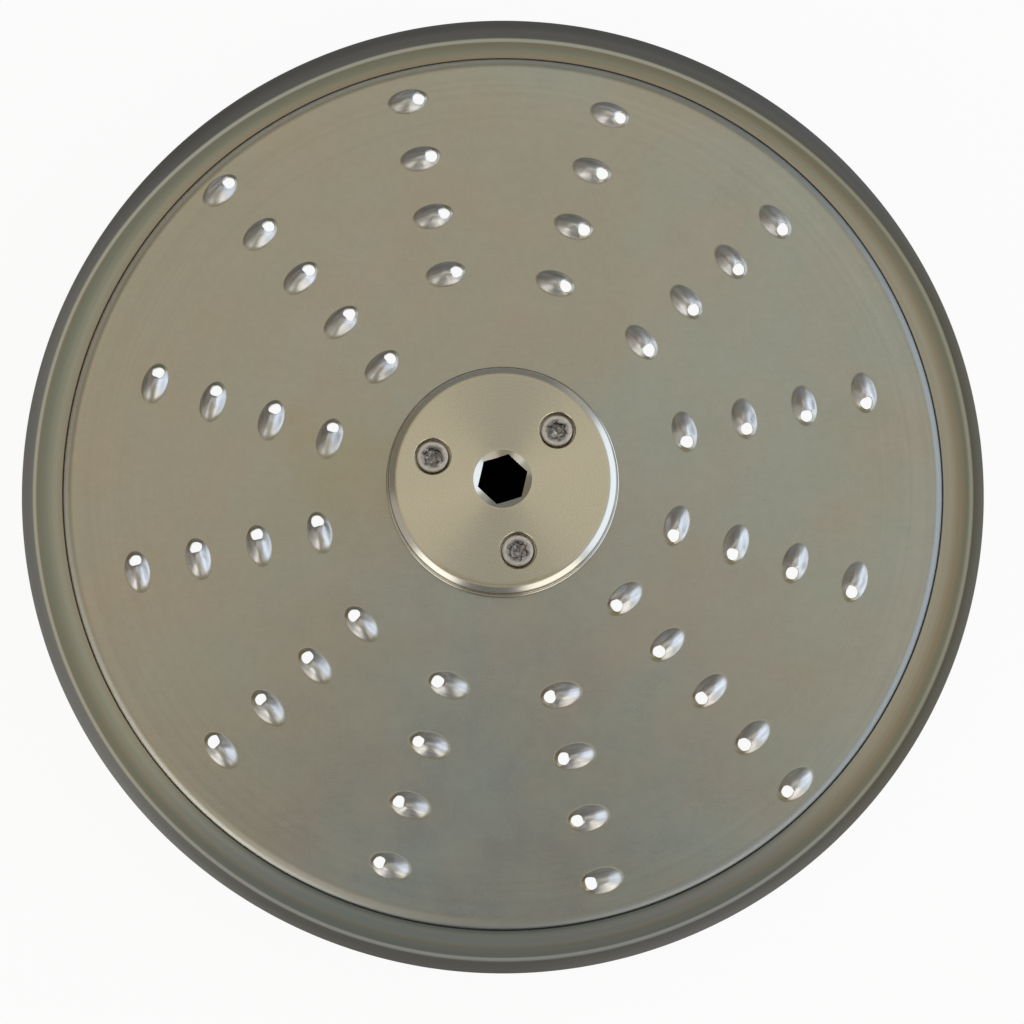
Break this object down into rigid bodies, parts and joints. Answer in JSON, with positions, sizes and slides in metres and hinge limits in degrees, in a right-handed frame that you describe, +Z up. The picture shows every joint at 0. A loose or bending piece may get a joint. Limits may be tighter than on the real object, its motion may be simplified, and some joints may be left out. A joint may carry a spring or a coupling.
{
  "type": "food processor grating disc",
  "caption": "Round stainless grating disc with raised teeth on a pressed plate, a turned rim, a screwed hub cap and a hexagonal drive bore.",
  "frame": {"origin": "centre of the drive hub's flat foot, on the disc's axis", "axes": "+Z up along the disc's axis, out of the toothed face; -Y is the side nearest the viewer in the picture"},
  "size_m": [0.205, 0.205, 0.0274],
  "materials": {
    "plate_steel": "satin rolled stainless sheet, polished at the teeth",
    "rim_steel": "turned stainless with fine concentric marks",
    "hub_steel": "turned stainless, polished on its bevelled edge",
    "screw_steel": "plain stainless with grime in the drive"
  },
  "bodies": {
    "root": {"grating_plate": "plate_steel", "rim_ring": "rim_steel", "hub_cap": "hub_steel", "drive_hub": "hub_steel", "hub_screws": "screw_steel"}
  },
  "joints": []
}
